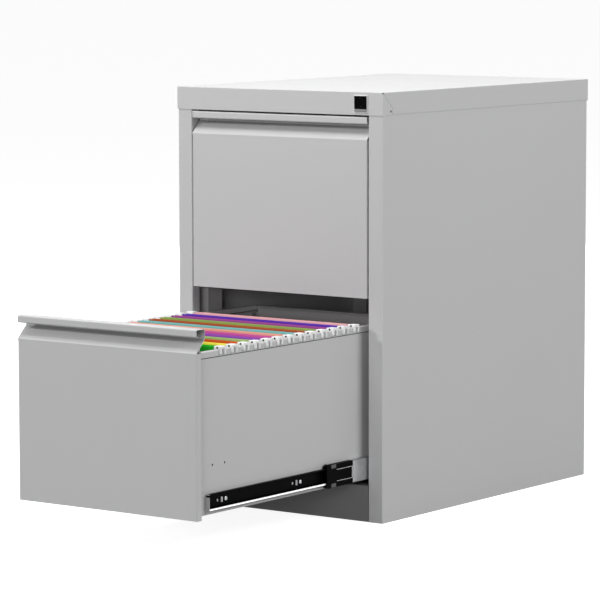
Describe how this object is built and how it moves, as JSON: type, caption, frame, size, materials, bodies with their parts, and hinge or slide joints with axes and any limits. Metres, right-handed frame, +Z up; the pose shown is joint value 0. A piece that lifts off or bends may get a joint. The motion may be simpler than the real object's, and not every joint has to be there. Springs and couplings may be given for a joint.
{
  "type": "filing cabinet",
  "caption": "Two-drawer vertical steel filing cabinet with hanging files, telescopic slides and a gang lock in the cap.",
  "frame": {"origin": "centre of the cabinet's footprint, on the floor", "axes": "+X to the viewer's right, -Y towards the front where the drawers come out, +Z up"},
  "size_m": [0.43, 1.114, 0.72],
  "materials": {
    "cabinet_paint": "light grey fine-texture powder coat",
    "inner_paint": "light grey powder coat, thin inside",
    "plinth_paint": "darker grey powder coat of the base",
    "drawer_rail_black": "black electro-coat, satin",
    "zinc": "zinc plated, dull",
    "black_plastic": "satin moulded",
    "lock_black": "smooth moulded",
    "hook_white": "smooth moulded",
    "file_bar_steel": "bright",
    "card_01": "matt dyed card",
    "card_02": "matt dyed card",
    "card_03": "matt dyed card",
    "card_04": "matt dyed card",
    "card_05": "matt dyed card",
    "card_06": "matt dyed card",
    "card_07": "matt dyed card",
    "card_08": "matt dyed card",
    "card_09": "matt dyed card",
    "card_10": "matt dyed card",
    "card_11": "matt dyed card",
    "card_12": "matt dyed card",
    "card_13": "matt dyed card"
  },
  "bodies": {
    "cabinet": {"left_side_panel": "cabinet_paint", "right_side_panel": "cabinet_paint", "back_panel": "cabinet_paint", "top_cap": "cabinet_paint", "base_pan": "plinth_paint", "front_left_upright": "inner_paint", "front_right_upright": "inner_paint", "rear_left_upright": "inner_paint", "rear_right_upright": "inner_paint", "upper_left_cabinet_rail": "zinc", "upper_right_cabinet_rail": "zinc", "lower_left_cabinet_rail": "zinc", "lower_right_cabinet_rail": "zinc", "lock_bezel": "cabinet_paint", "lock_body": "lock_black", "lock_bar_guides": "zinc"},
    "upper_drawer": {"upper_drawer_front": "cabinet_paint", "upper_drawer_inner_front": "inner_paint", "upper_drawer_tray": "cabinet_paint", "upper_drawer_back": "inner_paint", "upper_drawer_catch": "zinc", "upper_left_drawer_rail": "drawer_rail_black", "upper_right_drawer_rail": "drawer_rail_black"},
    "lower_drawer": {"lower_drawer_front": "cabinet_paint", "lower_drawer_inner_front": "inner_paint", "lower_drawer_tray": "cabinet_paint", "lower_drawer_back": "inner_paint", "lower_drawer_catch": "zinc", "lower_left_drawer_rail": "drawer_rail_black", "lower_right_drawer_rail": "drawer_rail_black", "hanging_file_01": "card_01", "hanging_file_02": "card_02", "hanging_file_03": "card_03", "hanging_file_04": "card_04", "hanging_file_05": "card_05", "hanging_file_06": "card_06", "hanging_file_07": "card_07", "hanging_file_08": "card_08", "hanging_file_09": "card_09", "hanging_file_10": "card_10", "hanging_file_11": "card_11", "hanging_file_12": "card_12", "hanging_file_13": "card_13", "file_bars": "file_bar_steel", "file_hooks": "hook_white"},
    "lock_core": {"lock_core": "lock_black"},
    "lock_bar": {"lock_bar": "zinc"},
    "upper_slide_middles": {"upper_left_middle_rail": "zinc", "upper_right_middle_rail": "zinc", "upper_slide_noses": "black_plastic"},
    "upper_inner_cages": {"upper_inner_ball_cages": "zinc"},
    "upper_outer_cages": {"upper_outer_ball_cages": "zinc"},
    "lower_slide_middles": {"lower_left_middle_rail": "zinc", "lower_right_middle_rail": "zinc", "lower_slide_noses": "black_plastic"},
    "lower_inner_cages": {"lower_inner_ball_cages": "zinc"},
    "lower_outer_cages": {"lower_outer_ball_cages": "zinc"}
  },
  "joints": [
    {"name": "upper_drawer_slide", "type": "slide", "parent": "cabinet", "child": "upper_drawer", "axis": [0, -1, 0], "range_m": [0, 0.52]},
    {"name": "lower_drawer_slide", "type": "slide", "parent": "cabinet", "child": "lower_drawer", "axis": [0, -1, 0], "range_m": [-0.464, 0.056]},
    {"name": "upper_slide_middles_slide", "type": "slide", "parent": "cabinet", "child": "upper_slide_middles", "axis": [0, -1, 0], "range_m": [0, 0.1669]},
    {"name": "upper_inner_cages_slide", "type": "slide", "parent": "cabinet", "child": "upper_inner_cages", "axis": [0, -1, 0], "range_m": [0, 0.3437]},
    {"name": "upper_outer_cages_slide", "type": "slide", "parent": "cabinet", "child": "upper_outer_cages", "axis": [0, -1, 0], "range_m": [0, 0.0837]},
    {"name": "lower_slide_middles_slide", "type": "slide", "parent": "cabinet", "child": "lower_slide_middles", "axis": [0, -1, 0], "range_m": [-0.14898, 0.01842]},
    {"name": "lower_inner_cages_slide", "type": "slide", "parent": "cabinet", "child": "lower_inner_cages", "axis": [0, -1, 0], "range_m": [-0.30674, 0.03746]},
    {"name": "lower_outer_cages_slide", "type": "slide", "parent": "cabinet", "child": "lower_outer_cages", "axis": [0, -1, 0], "range_m": [-0.07474, 0.00946]},
    {"name": "lock_turn", "type": "hinge", "parent": "cabinet", "child": "lock_core", "pos_m": [0.171, -0.3, 0.7027], "axis": [0, 1, 0], "range_deg": [0, 90]},
    {"name": "lock_bar_drop", "type": "slide", "parent": "cabinet", "child": "lock_bar", "axis": [0, 0, -1], "range_m": [0, 0.01413]}
  ],
  "couplings": [
    {"joint": "upper_slide_middles_slide", "follows": "upper_drawer_slide", "ratio": 0.32},
    {"joint": "upper_inner_cages_slide", "follows": "upper_drawer_slide", "ratio": 0.66},
    {"joint": "upper_outer_cages_slide", "follows": "upper_drawer_slide", "ratio": 0.16},
    {"joint": "lower_slide_middles_slide", "follows": "lower_drawer_slide", "ratio": 0.32},
    {"joint": "lower_inner_cages_slide", "follows": "lower_drawer_slide", "ratio": 0.66},
    {"joint": "lower_outer_cages_slide", "follows": "lower_drawer_slide", "ratio": 0.16},
    {"joint": "lock_turn", "follows": "lock_bar_drop", "rad_per_m": 111.11}
  ]
}
